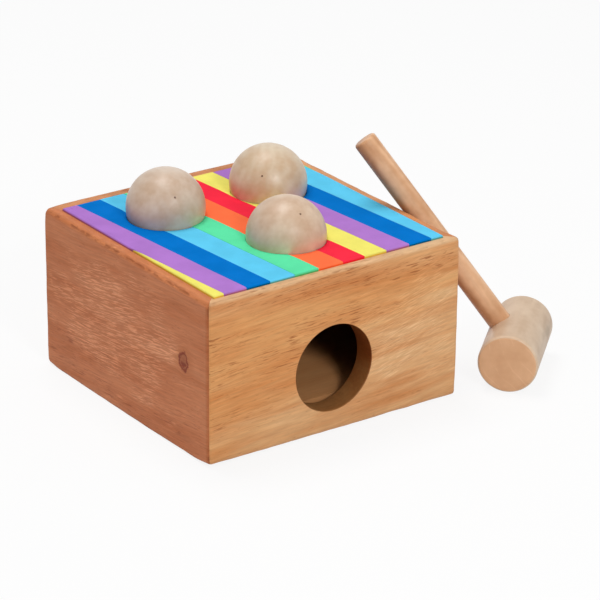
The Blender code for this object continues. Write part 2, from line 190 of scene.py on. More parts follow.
class Graph:
    """The node tree of a material or a world, with short calls that add a node and give its output."""

    def __init__(self, owner):
        owner.use_nodes = True
        self.owner = owner
        self.tree = owner.node_tree

    @property
    def shader(self):
        return self.tree.nodes["Principled BSDF"]

    def add(self, kind, **settings):
        node = self.tree.nodes.new(kind)
        for key, value in settings.items():
            setattr(node, key, value)
        return node

    def feed(self, socket, value):
        """Links an output to a socket, or sets the socket to a plain value."""
        if isinstance(value, bpy.types.NodeSocket):
            self.tree.links.new(value, socket)
        elif isinstance(value, tuple) and len(value) == 3 and socket.type == "RGBA":
            socket.default_value = (*value, 1.0)
        else:
            socket.default_value = value

    def math(self, operation, a, b=0.0):
        node = self.add("ShaderNodeMath", operation=operation)
        self.feed(node.inputs[0], a)
        self.feed(node.inputs[1], b)
        return node.outputs[0]

    def plus(self, a, b):
        return self.math("ADD", a, b)

    def minus(self, a, b):
        return self.math("SUBTRACT", a, b)

    def over(self, a, b):
        return self.math("DIVIDE", a, b)

    def times(self, first, *others):
        product = first
        for other in others:
            product = self.math("MULTIPLY", product, other)
        return product

    def swing(self, value, amount):
        """A value from 0 to 1 as one that swings about 0, from minus to plus half the amount."""
        return self.times(self.minus(value, 0.5), amount)

    def vector(self, operation, a, b=(0, 0, 0)):
        node = self.add("ShaderNodeVectorMath", operation=operation)
        self.feed(node.inputs[0], a)
        self.feed(node.inputs[1], b)
        return node.outputs["Value" if operation in ("LENGTH", "DOT_PRODUCT") else "Vector"]

    def length(self, vector):
        return self.vector("LENGTH", vector)

    def combine(self, x=0.0, y=0.0, z=0.0):
        node = self.add("ShaderNodeCombineXYZ")
        for socket, value in zip(node.inputs, (x, y, z)):
            self.feed(socket, value)
        return node.outputs[0]

    def separate(self, vector):
        node = self.add("ShaderNodeSeparateXYZ")
        self.feed(node.inputs[0], vector)
        return tuple(node.outputs)

    def place(self, vector, location=(0, 0, 0), rotation=(0, 0, 0), scale=(1, 1, 1)):
        node = self.add("ShaderNodeMapping")
        self.feed(node.inputs["Vector"], vector)
        node.inputs["Location"].default_value = location
        node.inputs["Rotation"].default_value = rotation
        node.inputs["Scale"].default_value = scale
        return node.outputs[0]

    def object_mm(self):
        """The point in the piece's own frame, in millimetres."""
        point = self.add("ShaderNodeTexCoord").outputs["Object"]
        return self.place(point, scale=(MM, MM, MM))

    def grain(self, vector, size, detail=2.0, roughness=0.5):
        """Noise from 0 to 1 whose patches have about the given size along X, Y and Z."""
        stretched = self.place(vector, scale=tuple(1 / length for length in size))
        node = self.add("ShaderNodeTexNoise")
        self.feed(node.inputs["Vector"], stretched)
        node.inputs["Scale"].default_value = 1.0
        node.inputs["Detail"].default_value = detail
        node.inputs["Roughness"].default_value = roughness
        return node.outputs["Fac"]

    def step(self, value, low, high, start=0.0, end=1.0):
        """A smooth step: start below low, end above high."""
        node = self.add("ShaderNodeMapRange", interpolation_type="SMOOTHSTEP")
        self.feed(node.inputs["Value"], value)
        node.inputs["From Min"].default_value = low
        node.inputs["From Max"].default_value = high
        node.inputs["To Min"].default_value = start
        node.inputs["To Max"].default_value = end
        return node.outputs[0]

    def fade(self, value, low, high):
        """A smooth step down: 1 below low, 0 above high."""
        return self.step(value, low, high, 1.0, 0.0)

    def mix(self, factor, a, b, blend="MIX"):
        node = self.add("ShaderNodeMix", data_type="RGBA", blend_type=blend)
        self.feed(node.inputs[0], factor)
        self.feed(node.inputs[6], a)
        self.feed(node.inputs[7], b)
        return node.outputs[2]

    def tinted(self, colour, tint, amount):
        """The colour with the tint multiplied in by the amount."""
        return self.mix(amount, colour, self.mix(1.0, colour, tint, "MULTIPLY"))

    def shaded(self, colour, shade):
        return self.mix(1.0, colour, self.combine(shade, shade, shade), "MULTIPLY")

    def ramp(self, value, span, dark, light):
        """A colour that goes from dark to light while the value crosses the span."""
        node = self.add("ShaderNodeValToRGB")
        self.feed(node.inputs[0], value)
        for element, position, colour in zip(node.color_ramp.elements, span, (dark, light)):
            element.position = position
            element.color = (*colour, 1.0)
        return node.outputs["Color"]

    def attribute(self, name):
        return self.add("ShaderNodeAttribute", attribute_name=name).outputs["Fac"]

    def bump(self, height, distance, strength):
        node = self.add("ShaderNodeBump")
        node.inputs["Strength"].default_value = strength
        node.inputs["Distance"].default_value = distance
        self.feed(node.inputs["Height"], height)
        self.feed(self.shader.inputs["Normal"], node.outputs[0])

    def finish(self, colour, roughness, gloss):
        self.feed(self.shader.inputs["Base Color"], colour)
        self.feed(self.shader.inputs["Roughness"], roughness)
        self.shader.inputs["Specular IOR Level"].default_value = gloss
        return self.owner


# In all materials a size is a patch's length along X, Y and Z, in millimetres, a span holds the two
# values between which something fades in or out, a shade or a tint multiplies the colour, a bump
# is (distance in metres, strength), and a roughness goes with the ends of the noise's span
NOISE_SPAN = (0.3, 0.7)


@dataclass
class Board:
    """How one wall's board looks. Lengths are millimetres, with X along the grain and Z up.

    cut_from and tilt are how the board lay in its log.
    pale and dashes are (toward X, toward Z, start): they grow in that direction from that place.
    streak_zone and knot are ovals: the middle and the half sizes.
    wear is how much the rubbed edges are darkened, and end_shade how much painted shade darkens the front
    end.
    top_tint is for the uppermost part of the board and rim_tint for its top edge, where the front board's
    whitening is painted sheen.
    hole is the middle and the radius of the exit hole.
    """

    along_y: bool
    cut_from: tuple
    tilt: float
    dark: tuple
    light: tuple
    pale: tuple
    pale_tint: tuple
    dashes: tuple
    dash_amount: float
    streak_amount: float
    streak_tilt: float
    streak_zone: tuple
    wear: float = 0.5
    end_shade: float = 0.0
    rim_tint: tuple = (1.0, 1.0, 1.0)
    top_tint: tuple = (1.0, 1.0, 1.0)
    knot: tuple = None
    hole: tuple = None


BOARDS = {
    "front_panel": Board(
        along_y=False,
        cut_from=(310.0, 40.0, 17.0),
        tilt=math.radians(3),
        dark=srgb(198, 124, 66),
        light=srgb(217, 159, 100),
        pale=(0.35, -0.9, -38.0),
        pale_tint=(1.03, 1.22, 1.58),
        dashes=(-0.3, 0.9, 40.0),
        dash_amount=0.9,
        streak_amount=0.4,
        streak_tilt=math.radians(14),
        streak_zone=(52.0, 52.0, 36.0, 36.0),
        wear=0.25,
        # Painted sheen: the top edge is whitened as if lit from above
        rim_tint=(1.08, 1.4, 1.9),
        top_tint=(1.02, 1.08, 1.24),
        hole=(-1.4, 38.42, 25.4),
    ),
    "left_panel": Board(
        along_y=True,
        cut_from=(-130.0, 12.0, 60.0),
        tilt=math.radians(-5),
        dark=srgb(184, 103, 59),
        light=srgb(204, 126, 80),
        pale=(-0.5, 0.5, 30.0),
        pale_tint=(1.03, 1.06, 1.1),
        dashes=(0.0, -0.9, -28.0),
        dash_amount=0.75,
        streak_amount=1.2,
        streak_tilt=math.radians(-3),
        streak_zone=(14.0, 48.0, 62.0, 36.0),
        wear=0.95,
        end_shade=0.9,
        rim_tint=(0.98, 0.96, 0.86),
        knot=(-59.8, 54.4, 3.8, 5.0),
    ),
    "right_panel": Board(
        along_y=True,
        cut_from=(520.0, -70.0, -45.0),
        tilt=math.radians(3),
        dark=srgb(194, 120, 70),
        light=srgb(212, 144, 92),
        pale=(0.5, 0.4, 10.0),
        pale_tint=(1.0, 1.06, 1.14),
        dashes=(0.3, -0.7, -40.0),
        dash_amount=0.8,
        streak_amount=0.5,
        streak_tilt=math.radians(-9),
        streak_zone=(-20.0, 52.0, 50.0, 34.0),
    ),
    "back_panel": Board(
        along_y=False,
        cut_from=(-420.0, 150.0, 33.0),
        tilt=math.radians(-3),
        dark=srgb(190, 116, 68),
        light=srgb(208, 140, 90),
        pale=(-0.4, -0.6, -30.0),
        pale_tint=(1.0, 1.08, 1.16),
        dashes=(0.4, 0.7, 20.0),
        dash_amount=0.8,
        streak_amount=0.5,
        streak_tilt=math.radians(8),
        streak_zone=(25.0, 44.0, 55.0, 30.0),
    ),
}

# Wall wood: the board's figure, fibre and bent grain
BEND_SIZE = (110, 45, 40)
BEND_LIFT = 8.0
FIGURE_SIZE = (80, 26, 9)
FIGURE_SPAN = (0.29, 0.71)
FIBRE_SIZE = (20, 2.6, 1.15)
FIBRE_SHADE = (0.9, 1.08)
FIBRE_HEIGHT = 0.5
WALL_BUMP = (0.00012, 0.5)
WALL_ROUGHNESS = (0.56, 0.48)
WALL_GLOSS = 0.22

# Wall wood: dark pore dashes in groups, flecks, and the border of a paler or more dashed part
BORDER_SIZE = (70, 30, 18)
BORDER_SWING = 80.0
BORDER_SOFTNESS = 22.0
DASH_SIZE = (10, 2.0, 0.85)
DASH_SPAN = (0.54, 0.66)
DASH_TINT = (0.57, 0.42, 0.33)
DASH_GROUP_SIZE = (60, 30, 9)
DASH_GROUP_SPAN = (0.44, 0.6)
DASH_LEAST = 0.08
FLECK_SIZE = (4.5, 1.4, 0.85)
FLECK_SPAN = (0.66, 0.76)
FLECK_AMOUNT = 0.35
FLECK_TINT = (0.6, 0.46, 0.38)

# Wall wood: silky light streaks and the cloudy zone that holds them
STREAK_SIZE = (11, 2.0, 0.8)
STREAK_SPAN = (0.47, 0.61)
STREAK_TINT = (1.36, 1.58, 1.88)
ZONE_SIZE = (24, 20, 14)
ZONE_SWING = 2.6
ZONE_SPAN = (0.45, 1.25)
ZONE_LEAST = 0.1
ZONE_TINT = (1.02, 1.08, 1.15)

# Wall wood: the top, the rubbed edges, painted shade at the front end, on the inside and in the bore, in
# millimetres
TOP_SPAN = (BOX_HIGH.z * MM - 16.0, BOX_HIGH.z * MM - 4.0)
RIM_SPAN = (BOX_HIGH.z * MM - 2.5, BOX_HIGH.z * MM - 0.5)
WORN_SIZE = (7, 3, 3)
WORN_SPAN = (0.46, 0.62)
WORN_FROM_HALF_HEIGHT = (36.0, 44.0)
WORN_LEAST = 0.15
WORN_TINT = (0.5, 0.4, 0.34)
FRONT_END_SHADE_SPAN = (BOX_LOW.y * MM + 0.6, BOX_LOW.y * MM + 3.8)
FRONT_END_SHADE_TINT = (0.7, 0.62, 0.55)
INSIDE_SHADE_SPAN = (70.05, 70.25)
INSIDE_SHADE_TINT = (0.1, 0.07, 0.05)
BORE_PAST_RADIUS = (0.15, 0.4)
BORE_RISE = (14.0, 42.0)
BORE_LOW_SHADE_TINT = (0.56, 0.46, 0.33)
BORE_HIGH_SHADE_TINT = (0.3, 0.14, 0.05)

# Knot: spans are shares of its half sizes
KNOT_SWIRL_SPAN = (0.6, 2.6)
KNOT_SWIRL = -1.8
KNOT_HALO_SPAN = (0.9, 3.4)
KNOT_HALO_TINT = (0.86, 0.76, 0.63)
KNOT_WOBBLE_SIZE = (3, 3, 3)
KNOT_WOBBLE = 1.1
KNOT_RING_START = (0.65, 0.95)
KNOT_RING_END = (0.98, 1.3)
KNOT_HEART_SPAN = (0.6, 1.0)
KNOT_HEART_RISE = (-0.3, 0.3)
KNOT_INSIDE_SPAN = (0.85, 1.1)
KNOT_INSIDE = 0.45
KNOT_TINT = (0.45, 0.18, 0.03)


def wall_wood(name, board):
    """Oiled hardwood: a soft figure, fine fibre, dark pore dashes and silky light streaks."""
    g = Graph(bpy.data.materials.new(name))
    point = g.object_mm()
    straight = g.place(point, rotation=(0, 0, math.radians(-90) if board.along_y else 0.0))
    along, _, up = g.separate(straight)
    wood = in_log(g, straight, board)

    figure = g.grain(wood, FIGURE_SIZE, detail=3.0, roughness=0.6)
    colour = g.ramp(figure, FIGURE_SPAN, board.dark, board.light)
    colour = g.tinted(colour, board.pale_tint, patchy(g, straight, wood, board.pale))
    fibre = g.grain(wood, FIBRE_SIZE, detail=3.0, roughness=0.7)
    colour = g.shaded(colour, g.step(fibre, *NOISE_SPAN, *FIBRE_SHADE))
    dash = pore_dashes(g, straight, wood, board)
    colour = g.tinted(colour, DASH_TINT, dash)
    fleck = g.step(g.grain(wood, FLECK_SIZE, detail=1.0), *FLECK_SPAN)
    colour = g.tinted(colour, FLECK_TINT, g.times(fleck, FLECK_AMOUNT))

    slanted = g.place(wood, rotation=(0, board.streak_tilt, 0))
    streak = g.step(g.grain(slanted, STREAK_SIZE, roughness=0.6), *STREAK_SPAN)
    zone = streak_zone(g, straight, wood, board)
    colour = g.tinted(colour, STREAK_TINT, g.times(streak, zone, board.streak_amount))
    colour = g.tinted(colour, ZONE_TINT, g.times(zone, board.streak_amount))
    if board.knot:
        colour = knot_colour(g, straight, colour, board.knot)

    colour = g.tinted(colour, board.top_tint, g.step(up, *TOP_SPAN))
    colour = g.tinted(colour, board.rim_tint, g.step(up, *RIM_SPAN))
    colour = g.tinted(colour, WORN_TINT, g.times(rubbed_edges(g, wood, up), board.wear))
    # Painted shade along the front end, beside the rounded upright corner
    colour = g.tinted(colour, FRONT_END_SHADE_TINT, g.times(g.fade(along, *FRONT_END_SHADE_SPAN), board.end_shade))
    # Painted shade: the inner faces of the walls are made nearly black
    colour = g.tinted(colour, INSIDE_SHADE_TINT, g.fade(from_middle(g, point), *INSIDE_SHADE_SPAN))
    # Painted shade in the bore of the exit hole, darkest in its upper part
    if board.hole:
        bore = g.mix(g.step(up, *BORE_RISE), BORE_LOW_SHADE_TINT, BORE_HIGH_SHADE_TINT)
        colour = g.tinted(colour, bore, in_bore(g, point, board.hole))

    g.bump(g.minus(g.times(fibre, FIBRE_HEIGHT), dash), *WALL_BUMP)
    return g.finish(colour, g.step(figure, *NOISE_SPAN, *WALL_ROUGHNESS), WALL_GLOSS)


def in_log(g, straight, board):
    """The point's place in the log, whose grain is bent softly and parts round a knot."""
    log = g.place(straight, location=board.cut_from, rotation=(0, board.tilt, 0))
    lift = g.swing(g.grain(log, BEND_SIZE, detail=1.0), BEND_LIFT)
    if board.knot:
        lift = g.plus(lift, knot_swirl(g, straight, board.knot))
    return g.vector("ADD", log, g.combine(z=lift))


def patchy(g, straight, wood, direction):
    """0 to 1 over a soft and patchy border that lies across the board."""
    toward_x, toward_z, start = direction
    along = g.vector("DOT_PRODUCT", straight, (toward_x, 0, toward_z))
    patch = g.swing(g.grain(wood, BORDER_SIZE), BORDER_SWING)
    return g.step(g.plus(along, patch), start - BORDER_SOFTNESS, start + BORDER_SOFTNESS)


def pore_dashes(g, straight, wood, board):
    """How dark a point is made by the short pores, which lie in groups."""
    dash = g.step(g.grain(wood, DASH_SIZE), *DASH_SPAN)
    group = g.step(g.grain(wood, DASH_GROUP_SIZE), *DASH_GROUP_SPAN, DASH_LEAST, 1.0)
    return g.times(dash, group, patchy(g, straight, wood, board.dashes), board.dash_amount)


def in_oval(g, straight, oval):
    """How far a point is from an oval's middle, as a share of its half sizes, and its rise alone."""
    middle_x, middle_z, half_x, half_z = oval
    x, _, z = g.separate(straight)
    across = g.over(g.minus(x, middle_x), half_x)
    rise = g.over(g.minus(z, middle_z), half_z)
    return g.length(g.combine(across, rise)), rise


def streak_zone(g, straight, wood, board):
    """1 in the cloudy patch that holds the silky streaks, little outside it."""
    away, _ = in_oval(g, straight, board.streak_zone)
    cloud = g.swing(g.grain(wood, ZONE_SIZE), ZONE_SWING)
    return g.step(g.plus(away, cloud), *ZONE_SPAN, 1.0, ZONE_LEAST)


def rubbed_edges(g, wood, up):
    """1 on rubbed stretches of the outside edges, less halfway up the uprights."""
    rubbed = g.step(g.grain(wood, WORN_SIZE, detail=3.0), *WORN_SPAN)
    from_half_height = g.math("ABSOLUTE", g.minus(up, BOX_HIGH.z * MM / 2))
    level = g.step(from_half_height, *WORN_FROM_HALF_HEIGHT, WORN_LEAST, 1.0)
    return g.times(g.attribute("arris"), rubbed, level)


def from_middle(g, point):
    """How far a point is from the middle of the box, measured square to its walls."""
    x, y, _ = g.separate(point)
    return g.math("MAXIMUM", g.math("ABSOLUTE", x), g.math("ABSOLUTE", y))


def in_bore(g, point, hole):
    """1 on the bore of the exit hole, but not on its eased rims."""
    middle_x, middle_z, radius = hole
    x, _, z = g.separate(point)
    away = g.length(g.combine(g.minus(x, middle_x), 0.0, g.minus(z, middle_z)))
    return g.fade(away, *(radius + past for past in BORE_PAST_RADIUS))


def knot_swirl(g, straight, knot):
    """Lift of the grain lines that makes them part round the knot."""
    away, rise = in_oval(g, straight, knot)
    return g.times(g.fade(away, *KNOT_SWIRL_SPAN), rise, KNOT_SWIRL)


def knot_colour(g, straight, colour, knot):
    """A dark ring round a brown heart, in wood that darkens toward it."""
    away, rise = in_oval(g, straight, knot)
    colour = g.tinted(colour, KNOT_HALO_TINT, g.fade(away, *KNOT_HALO_SPAN))
    edge = g.plus(away, g.swing(g.grain(straight, KNOT_WOBBLE_SIZE), KNOT_WOBBLE))
    ring = g.times(g.step(edge, *KNOT_RING_START), g.fade(edge, *KNOT_RING_END))
    heart = g.times(g.fade(edge, *KNOT_HEART_SPAN), g.fade(rise, *KNOT_HEART_RISE))
    inside = g.times(g.fade(edge, *KNOT_INSIDE_SPAN), KNOT_INSIDE)
    amount = g.math("MAXIMUM", g.math("MAXIMUM", ring, heart), inside)
    return g.tinted(colour, KNOT_TINT, amount)


# Plywood of the base and the ramp. The ramp has painted shade beside the balls' way, and the base is only a
# little darker toward its sides
PLY_DARK = srgb(200, 139, 87)
PLY_LIGHT = srgb(207, 148, 96)
PLY_BAND_SIZE = (140, 9, 9)
PLY_FIBRE_SIZE = (12, 0.9, 0.9)
PLY_FIBRE_SHADE = (0.95, 1.04)
PLY_ASIDE_SPAN = (20.0, 44.0)
PLY_ASIDE_SHADE_TINTS = {"base_panel": (0.94, 0.92, 0.9), "ball_ramp": (0.3, 0.22, 0.16)}
PLY_BUMP = (0.0001, 0.4)
PLY_ROUGHNESS = (0.72, 0.62)
PLY_GLOSS = 0.2


def plywood(name, aside_shade_tint):
    """Matt birch plywood: pale brown with long soft bands and short fine pores."""
    g = Graph(bpy.data.materials.new(name))
    point = g.object_mm()
    bands = g.grain(point, PLY_BAND_SIZE, detail=3.0)
    colour = g.ramp(bands, NOISE_SPAN, PLY_DARK, PLY_LIGHT)
    fibre = g.grain(point, PLY_FIBRE_SIZE)
    colour = g.shaded(colour, g.step(fibre, *NOISE_SPAN, *PLY_FIBRE_SHADE))
    aside = g.math("ABSOLUTE", g.separate(point)[0])
    # Painted shade toward the sides: strong on the ramp, slight on the base
    colour = g.tinted(colour, aside_shade_tint, g.step(aside, *PLY_ASIDE_SPAN))
    g.bump(fibre, *PLY_BUMP)
    return g.finish(colour, g.step(bands, *NOISE_SPAN, *PLY_ROUGHNESS), PLY_GLOSS)


@dataclass
class Turning:
    """How a turned piece's wood looks. Lengths are millimetres, with Z along the fibre.

    cut_from is the piece's place in its log, seen from the middle of the growth rings.
    banding and eyes are the shares of the growth rings and of darker spots in the colour.
    """

    dark: tuple
    light: tuple
    cut_from: tuple
    ring_width: float = 6.0
    banding: float = 0.04
    fibre_depth: float = 0.015
    eyes: float = 0.1
    gloss: float = 0.55


BALL_LOOKS = {
    "ball_left": Turning(srgb(190, 161, 136), srgb(209, 189, 170), cut_from=(46, 20, 0)),
    "ball_right": Turning(srgb(197, 167, 135), srgb(212, 193, 167), cut_from=(55, -12, 0), banding=0.07),
    "ball_front": Turning(srgb(195, 163, 135), srgb(214, 190, 165), cut_from=(-40, 33, 0)),
}
HEAD_LOOK = Turning(
    srgb(196, 168, 140),
    srgb(212, 187, 160),
    cut_from=(38, 26, 0),
    ring_width=9.0,
    banding=0.1,
    eyes=0.5,
    gloss=0.3,
)
HANDLE_LOOK = Turning(
    srgb(204, 152, 111),
    srgb(232, 187, 148),
    cut_from=(60, 10, 0),
    ring_width=4.0,
    banding=0.15,
    fibre_depth=0.03,
    eyes=0.25,
    gloss=0.18,
)

# Turned wood
RING_BEND_SIZE = (26, 26, 50)
RING_BEND = 2.4
BLOTCH_SIZE = (15, 15, 17)
TONE_SPAN = (0.33, 0.67)
TURNED_FIBRE_SIZE = (2.2, 2.2, 20)
EYE_SIZE = (8, 8, 30)
EYE_SPAN = (0.62, 0.72)
EYE_TINT = (0.84, 0.78, 0.7)
MARK_COLOUR = srgb(120, 92, 70)
TURNED_BUMP = (0.00005, 0.3)
TURNED_ROUGHNESS = (0.42, 0.34)

# The head's ends: browner end grain with pale and broken ring lines, inside a rounded rim lightened as a
# painted highlight
END_DEPTH_SPAN = (0.3, 1.1)
END_RADIUS_SPAN = (16.0, 16.7)
END_GRAIN_SIZE = (11, 11, 11)
END_GRAIN_DARK = srgb(206, 158, 118)
END_GRAIN_LIGHT = srgb(220, 174, 134)
END_CUT_FROM = (34, -22, 0)
END_RING_WIDTH = 6.5
END_BEND_SIZE = (20, 20, 20)
END_BEND = 1.6
LINE_START = (0.0, 0.06)
LINE_END = (0.06, 0.14)
LINE_BREAK_SIZE = (9, 9, 9)
LINE_BREAK_SPAN = (0.4, 0.6)
LINE_AMOUNT = 0.7
LINE_TINT = (1.12, 1.18, 1.24)
HEAD_RIM_HIGHLIGHT_START = (0.05, 0.5)
HEAD_RIM_HIGHLIGHT_END = (1.2, 2.0)
HEAD_RIM_HIGHLIGHT_AMOUNT = 0.7
HEAD_RIM_HIGHLIGHT_TINT = (1.12, 1.11, 1.1)

# Dark patches on the head's side as (middle, half sizes, tint), and how their outline blurs: the first is
# painted shade on the right flank, the second a grey stain
HEAD_STAIN_AND_SHADE = (
    ((-17.0, 2.0, 4.0), (8.0, 10.0, 34.0), (0.86, 0.84, 0.81)),
    ((-16.5, 4.5, 11.0), (4.0, 4.5, 8.0), (0.86, 0.87, 0.85)),
)
DARK_OVAL_BLUR_SIZE = (6, 6, 9)
DARK_OVAL_BLUR = 0.9
DARK_OVAL_SPAN = (0.3, 1.1)

# Painted shade: the handle is browner on its lower side, most of all near its upper end
LOWER_SIDE_SHADE_SPAN = (-3.6, 1.4)
LOWER_SIDE_SHADE_RISE = (-60.0, 50.0)
LOWER_SIDE_SHADE_LEAST = 0.42
LOWER_SIDE_SHADE_TINT = (0.64, 0.56, 0.52)


def turned_wood(name, look):
    """Turned hardwood as (graph, colour, roughness): soft blotches, faint rings, fibre along Z."""
    g = Graph(bpy.data.materials.new(name))
    point = g.object_mm()
    flat = g.vector("MULTIPLY", g.place(point, location=look.cut_from), (1, 1, 0))
    bend = g.times(g.grain(point, RING_BEND_SIZE, detail=1.0), RING_BEND)
    ring = g.plus(g.over(g.length(flat), look.ring_width), bend)
    wave = g.math("SINE", g.times(ring, 2 * math.pi))
    soft = g.plus(g.times(wave, 0.5), 0.5)
    blotch = g.grain(point, BLOTCH_SIZE, detail=3.0, roughness=0.62)
    tone = g.plus(g.times(soft, look.banding), g.times(blotch, 1 - look.banding))
    colour = g.ramp(tone, TONE_SPAN, look.dark, look.light)
    fibre = g.grain(point, TURNED_FIBRE_SIZE)
    colour = g.shaded(colour, g.step(fibre, *NOISE_SPAN, 1 - look.fibre_depth, 1 + look.fibre_depth))
    eye = g.step(g.grain(point, EYE_SIZE, detail=1.0), *EYE_SPAN)
    colour = g.tinted(colour, EYE_TINT, g.times(eye, look.eyes))
    colour = g.mix(g.attribute("mark"), colour, MARK_COLOUR)
    g.bump(fibre, *TURNED_BUMP)
    return g, colour, g.step(blotch, *NOISE_SPAN, *TURNED_ROUGHNESS)


def ball_wood(node):
    g, colour, rough = turned_wood(f"{node} wood", BALL_LOOKS[node])
    return g.finish(colour, rough, BALL_LOOKS[node].gloss)


def head_wood(half):
    """The head's side is pale, with a stain and painted shade on one flank, and its ends show browner end
    grain inside a rounded rim lightened as a painted highlight.
    """
    g, colour, rough = turned_wood("head wood", HEAD_LOOK)
    point = g.object_mm()
    x, y, z = g.separate(point)
    depth = g.minus(half * MM, g.math("ABSOLUTE", z))
    # Painted shade on the right flank, and a grey stain
    for middle, half_sizes, tint in HEAD_STAIN_AND_SHADE:
        colour = g.tinted(colour, tint, dark_oval(g, point, middle, half_sizes))
    # Painted highlight on the rounded rim
    rim = g.times(g.step(depth, *HEAD_RIM_HIGHLIGHT_START), g.fade(depth, *HEAD_RIM_HIGHLIGHT_END))
    colour = g.tinted(colour, HEAD_RIM_HIGHLIGHT_TINT, g.times(rim, HEAD_RIM_HIGHLIGHT_AMOUNT))
    from_axis = g.length(g.combine(x, y))
    end = g.times(g.fade(depth, *END_DEPTH_SPAN), g.fade(from_axis, *END_RADIUS_SPAN))
    return g.finish(g.mix(end, colour, end_grain(g, point)), rough, HEAD_LOOK.gloss)


def dark_oval(g, point, middle, half_sizes):
    """1 in the middle of a soft oval patch, 0 outside it."""
    away = g.vector("DIVIDE", g.vector("SUBTRACT", point, middle), half_sizes)
    blur = g.swing(g.grain(point, DARK_OVAL_BLUR_SIZE), DARK_OVAL_BLUR)
    return g.fade(g.plus(g.length(away), blur), *DARK_OVAL_SPAN)


def end_grain(g, point):
    """The colour of the head's ends, with pale lines along some of the growth rings."""
    x, y, _ = g.separate(point)
    colour = g.ramp(g.grain(point, END_GRAIN_SIZE, detail=3.0), NOISE_SPAN, END_GRAIN_DARK, END_GRAIN_LIGHT)
    away = g.length(g.place(g.combine(x, y), location=END_CUT_FROM))
    bend = g.times(g.grain(point, END_BEND_SIZE, detail=1.0), END_BEND)
    ring = g.math("FRACT", g.plus(g.over(away, END_RING_WIDTH), bend))
    line = g.times(g.step(ring, *LINE_START), g.fade(ring, *LINE_END))
    whole = g.step(g.grain(point, LINE_BREAK_SIZE), *LINE_BREAK_SPAN)
    return g.tinted(colour, LINE_TINT, g.times(line, whole, LINE_AMOUNT))


def handle_wood():
    g, colour, rough = turned_wood("handle wood", HANDLE_LOOK)
    _, side, up = g.separate(g.object_mm())
    # Painted shade on the handle's lower side
    lower_shade = g.times(g.fade(side, *LOWER_SIDE_SHADE_SPAN), g.step(up, *LOWER_SIDE_SHADE_RISE, LOWER_SIDE_SHADE_LEAST, 1.0))
    return g.finish(g.tinted(colour, LOWER_SIDE_SHADE_TINT, lower_shade), rough, HANDLE_LOOK.gloss)


# Foam. Its cut sides get painted shade, with painted warm bounce light from the wood where they face the
# walls
FOAM_COLOURS = {
    "yellow": srgb(238, 229, 111),
    "purple": srgb(175, 121, 203),
    "dark_blue": srgb(0, 114, 199),
    "light_blue": srgb(95, 201, 239),
    "green": srgb(93, 224, 165),
    "orange": srgb(254, 116, 71),
    "red": srgb(245, 46, 70),
}
FOAM_CLOUD_SIZE = (16, 16, 16)
FOAM_CLOUD_SHADE = (0.95, 1.05)
FOAM_CELLS_PER_MM = 2.2
FOAM_PORE_SPAN = (0.05, 0.3)
FOAM_PORE_SHADE = 0.86
FOAM_SIDE_SHADE_SPAN = (FOAM_TOP * MM - 1.1, FOAM_TOP * MM - 0.5)
FOAM_SIDE_SHADE_TINT = (0.62, 0.62, 0.62)
FOAM_BESIDE_WALL = (70.0, 74.0)
FOAM_WALL_SHADE_AND_BOUNCE_TINT = (0.95, 0.62, 0.36)
FOAM_BUMP = (0.0002, 0.4)
FOAM_ROUGHNESS = (0.78, 0.68)
FOAM_GLOSS = 0.02


def foam(name, colour):
    """Closed-cell foam: one even colour with faint clouds and fine pores, with painted shade on its cut
    sides.
    """
    g = Graph(bpy.data.materials.new(name))
    point = g.object_mm()
    cloud = g.grain(point, FOAM_CLOUD_SIZE, detail=3.0)
    cells = g.add("ShaderNodeTexVoronoi", feature="F1")
    g.feed(cells.inputs["Vector"], point)
    cells.inputs["Scale"].default_value = FOAM_CELLS_PER_MM
    pore = g.step(cells.outputs["Distance"], *FOAM_PORE_SPAN, FOAM_PORE_SHADE, 1.0)
    colour = g.shaded(colour, g.times(g.step(cloud, *NOISE_SPAN, *FOAM_CLOUD_SHADE), pore))
    # Painted shade on the cut sides, warmed by painted bounce light beside the walls
    beside_wall = g.step(from_middle(g, point), *FOAM_BESIDE_WALL)
    side_shade_tint = g.mix(beside_wall, FOAM_SIDE_SHADE_TINT, FOAM_WALL_SHADE_AND_BOUNCE_TINT)
    colour = g.tinted(colour, side_shade_tint, g.fade(g.separate(point)[2], *FOAM_SIDE_SHADE_SPAN))
    g.bump(pore, *FOAM_BUMP)
    return g.finish(colour, g.step(cloud, *NOISE_SPAN, *FOAM_ROUGHNESS), FOAM_GLOSS)


def as_object(name, bm):
    """A bmesh as an object in the scene."""
    mesh = bpy.data.meshes.new(name)
    bm.to_mesh(mesh)
    bm.free()
    made = bpy.data.objects.new(name, mesh)
    bpy.context.scene.collection.objects.link(made)
    return made


def new_piece(name, bm, material, body, place=Matrix()):
    """A finished mesh as a piece that rides on a body."""
    bmesh.ops.recalc_face_normals(bm, faces=bm.faces)
    piece = as_object(name, bm)
    piece.data.shade_smooth()
    piece.data.set_sharp_from_angle(angle=SHARP_ANGLE)
    piece.data.materials.append(material)
    piece.matrix_world = place
    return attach(piece, body)


def cut(bm, tools):
    """The bmesh less the tools."""
    block = as_object("block", bm)
    for tool in tools:
        step = block.modifiers.new(tool.name, "BOOLEAN")
        step.operation = "DIFFERENCE"
        step.object = tool
        step.solver = "EXACT"
    graph = bpy.context.evaluated_depsgraph_get()
    made = bmesh.new()
    made.from_mesh(block.evaluated_get(graph).to_mesh())
    bpy.data.objects.remove(block)
    return made


def welded_copy(*nodes):
    """The CAD nodes' meshes as one bmesh, with split vertices joined and flat faces whole."""
    bm = bmesh.new()
    for node in nodes:
        bm.from_mesh(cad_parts[node].data)
    bmesh.ops.remove_doubles(bm, verts=bm.verts, dist=WELD)
    bmesh.ops.dissolve_limit(bm, angle_limit=FLAT_ANGLE, verts=bm.verts, edges=bm.edges)
    return bm


